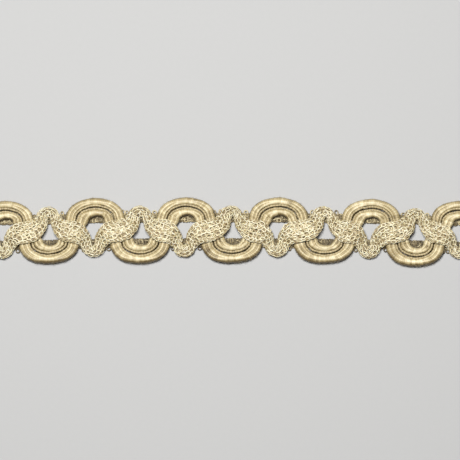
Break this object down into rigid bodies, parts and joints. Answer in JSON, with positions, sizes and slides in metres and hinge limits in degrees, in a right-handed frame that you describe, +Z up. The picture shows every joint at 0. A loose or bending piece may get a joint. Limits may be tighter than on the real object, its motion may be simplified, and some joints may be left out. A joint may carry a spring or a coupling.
{
  "type": "gimp braid trim",
  "caption": "Flat gimp braid trim: a pair of wrapped cords in a row of arches under a zigzag knitted tape, carried by straight bands at the back.",
  "frame": {"origin": "middle of the footprint, on the surface that the trim lies on", "axes": "+X along the trim, +Y across it, +Z up from the surface towards the face side"},
  "size_m": [0.1338, 0.017, 0.004],
  "materials": {
    "cord_yarn": "lustrous wrapped rayon yarn, champagne",
    "tape_yarn": "knitted yarn, ivory",
    "band_yarn": "knitted yarn, champagne"
  },
  "bodies": {
    "root": {"band_upper": "band_yarn", "band_lower": "band_yarn", "cord_upper": "cord_yarn", "cord_lower": "cord_yarn", "tape_front": "tape_yarn"}
  },
  "joints": []
}
